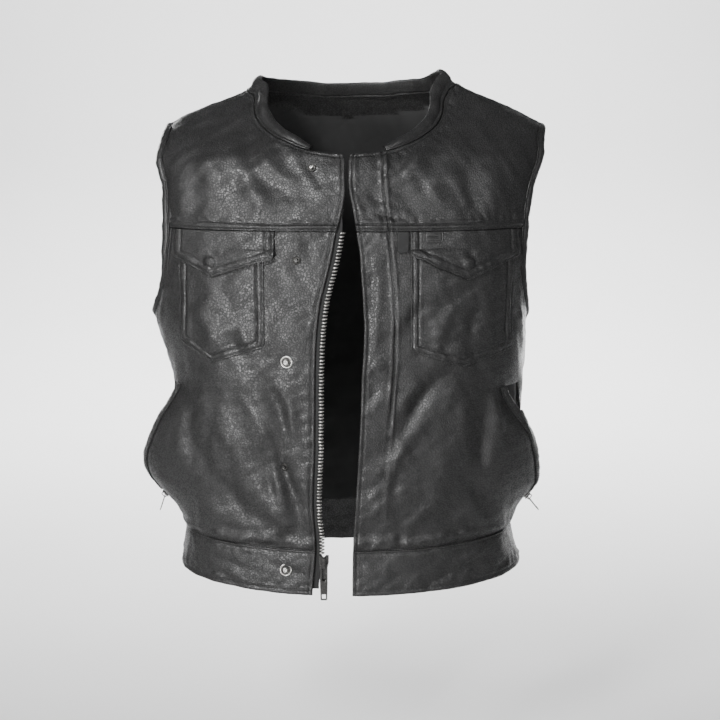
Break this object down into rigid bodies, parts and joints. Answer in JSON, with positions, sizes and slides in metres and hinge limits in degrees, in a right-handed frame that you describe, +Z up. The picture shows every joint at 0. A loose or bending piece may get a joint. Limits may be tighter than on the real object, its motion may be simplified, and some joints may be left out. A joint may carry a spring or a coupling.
{
  "type": "leather vest",
  "caption": "Black leather club vest worn open: yoked fronts, flapped chest pockets, zipped hand pockets, waistband, raised neck band and a heavy front zip",
  "frame": {"origin": "midway between the shoulders at mid shoulder height, where the wearer carries the vest", "axes": "+Z up, the front faces -Y, +X towards the wearer's left"},
  "size_m": [0.4968, 0.2702, 0.6281],
  "materials": {
    "leather": "black pebbled grain, soft sheen",
    "lining": "black plain weave",
    "tape": "black woven zip tape with metal teeth",
    "nickel": "worn nickel plate",
    "gunmetal": "dark gunmetal plate",
    "label": "black woven tape, bare"
  },
  "bodies": {
    "vest": {"front_panel_right": "leather", "front_yoke_right": "leather", "waistband_right": "leather", "front_panel_left": "leather", "front_yoke_left": "leather", "waistband_left": "leather", "back_panel": "leather", "waistband_back": "leather", "armhole_binding_right": "leather", "armhole_binding_left": "leather", "neck_band": "leather", "chest_pocket_right": "leather", "chest_pocket_left": "leather", "pocket_flap_right": "leather", "pocket_flap_left": "leather", "flap_snap_right": "gunmetal", "flap_snap_left": "gunmetal", "snap_stud_1": "gunmetal", "snap_stud_2": "nickel", "snap_stud_3": "nickel", "snap_stud_4": "nickel", "snap_stud_5": "nickel", "snap_socket_1": "nickel", "snap_socket_2": "nickel", "snap_socket_3": "nickel", "snap_socket_4": "nickel", "snap_socket_5": "nickel", "zip_half_right": "tape", "zip_half_left": "tape", "zip_tape_foot": "tape", "zip_slider": "gunmetal", "zip_box": "gunmetal", "pocket_welt_right": "leather", "pocket_tape_front_right": "tape", "pocket_tape_back_right": "tape", "pocket_bag_right": "lining", "pocket_right_slider": "nickel", "pocket_welt_left": "leather", "pocket_tape_front_left": "tape", "pocket_tape_back_left": "tape", "pocket_bag_left": "lining", "pocket_left_slider": "nickel", "label": "label", "pen_slot_patch": "leather"},
    "zip_pull": {"zip_pull": "gunmetal"},
    "pocket_right_pull": {"pocket_right_pull": "nickel"},
    "pocket_left_pull": {"pocket_left_pull": "nickel"}
  },
  "joints": [
    {"name": "zip_pull_swing", "type": "hinge", "parent": "vest", "child": "zip_pull", "pos_m": [-0.02831, -0.12839, -0.5474], "axis": [-1, 0, 0], "range_deg": [0, 150]},
    {"name": "pocket_right_pull_swing", "type": "hinge", "parent": "vest", "child": "pocket_right_pull", "pos_m": [-0.23173, -0.00425, -0.4929], "axis": [-0.0116, 0.9999, 0.0028], "range_deg": [-50, 70]},
    {"name": "pocket_left_pull_swing", "type": "hinge", "parent": "vest", "child": "pocket_left_pull", "pos_m": [0.2274, -0.01383, -0.49329], "axis": [-0.0646, -0.9979, -0.0007], "range_deg": [-60, 60]}
  ]
}
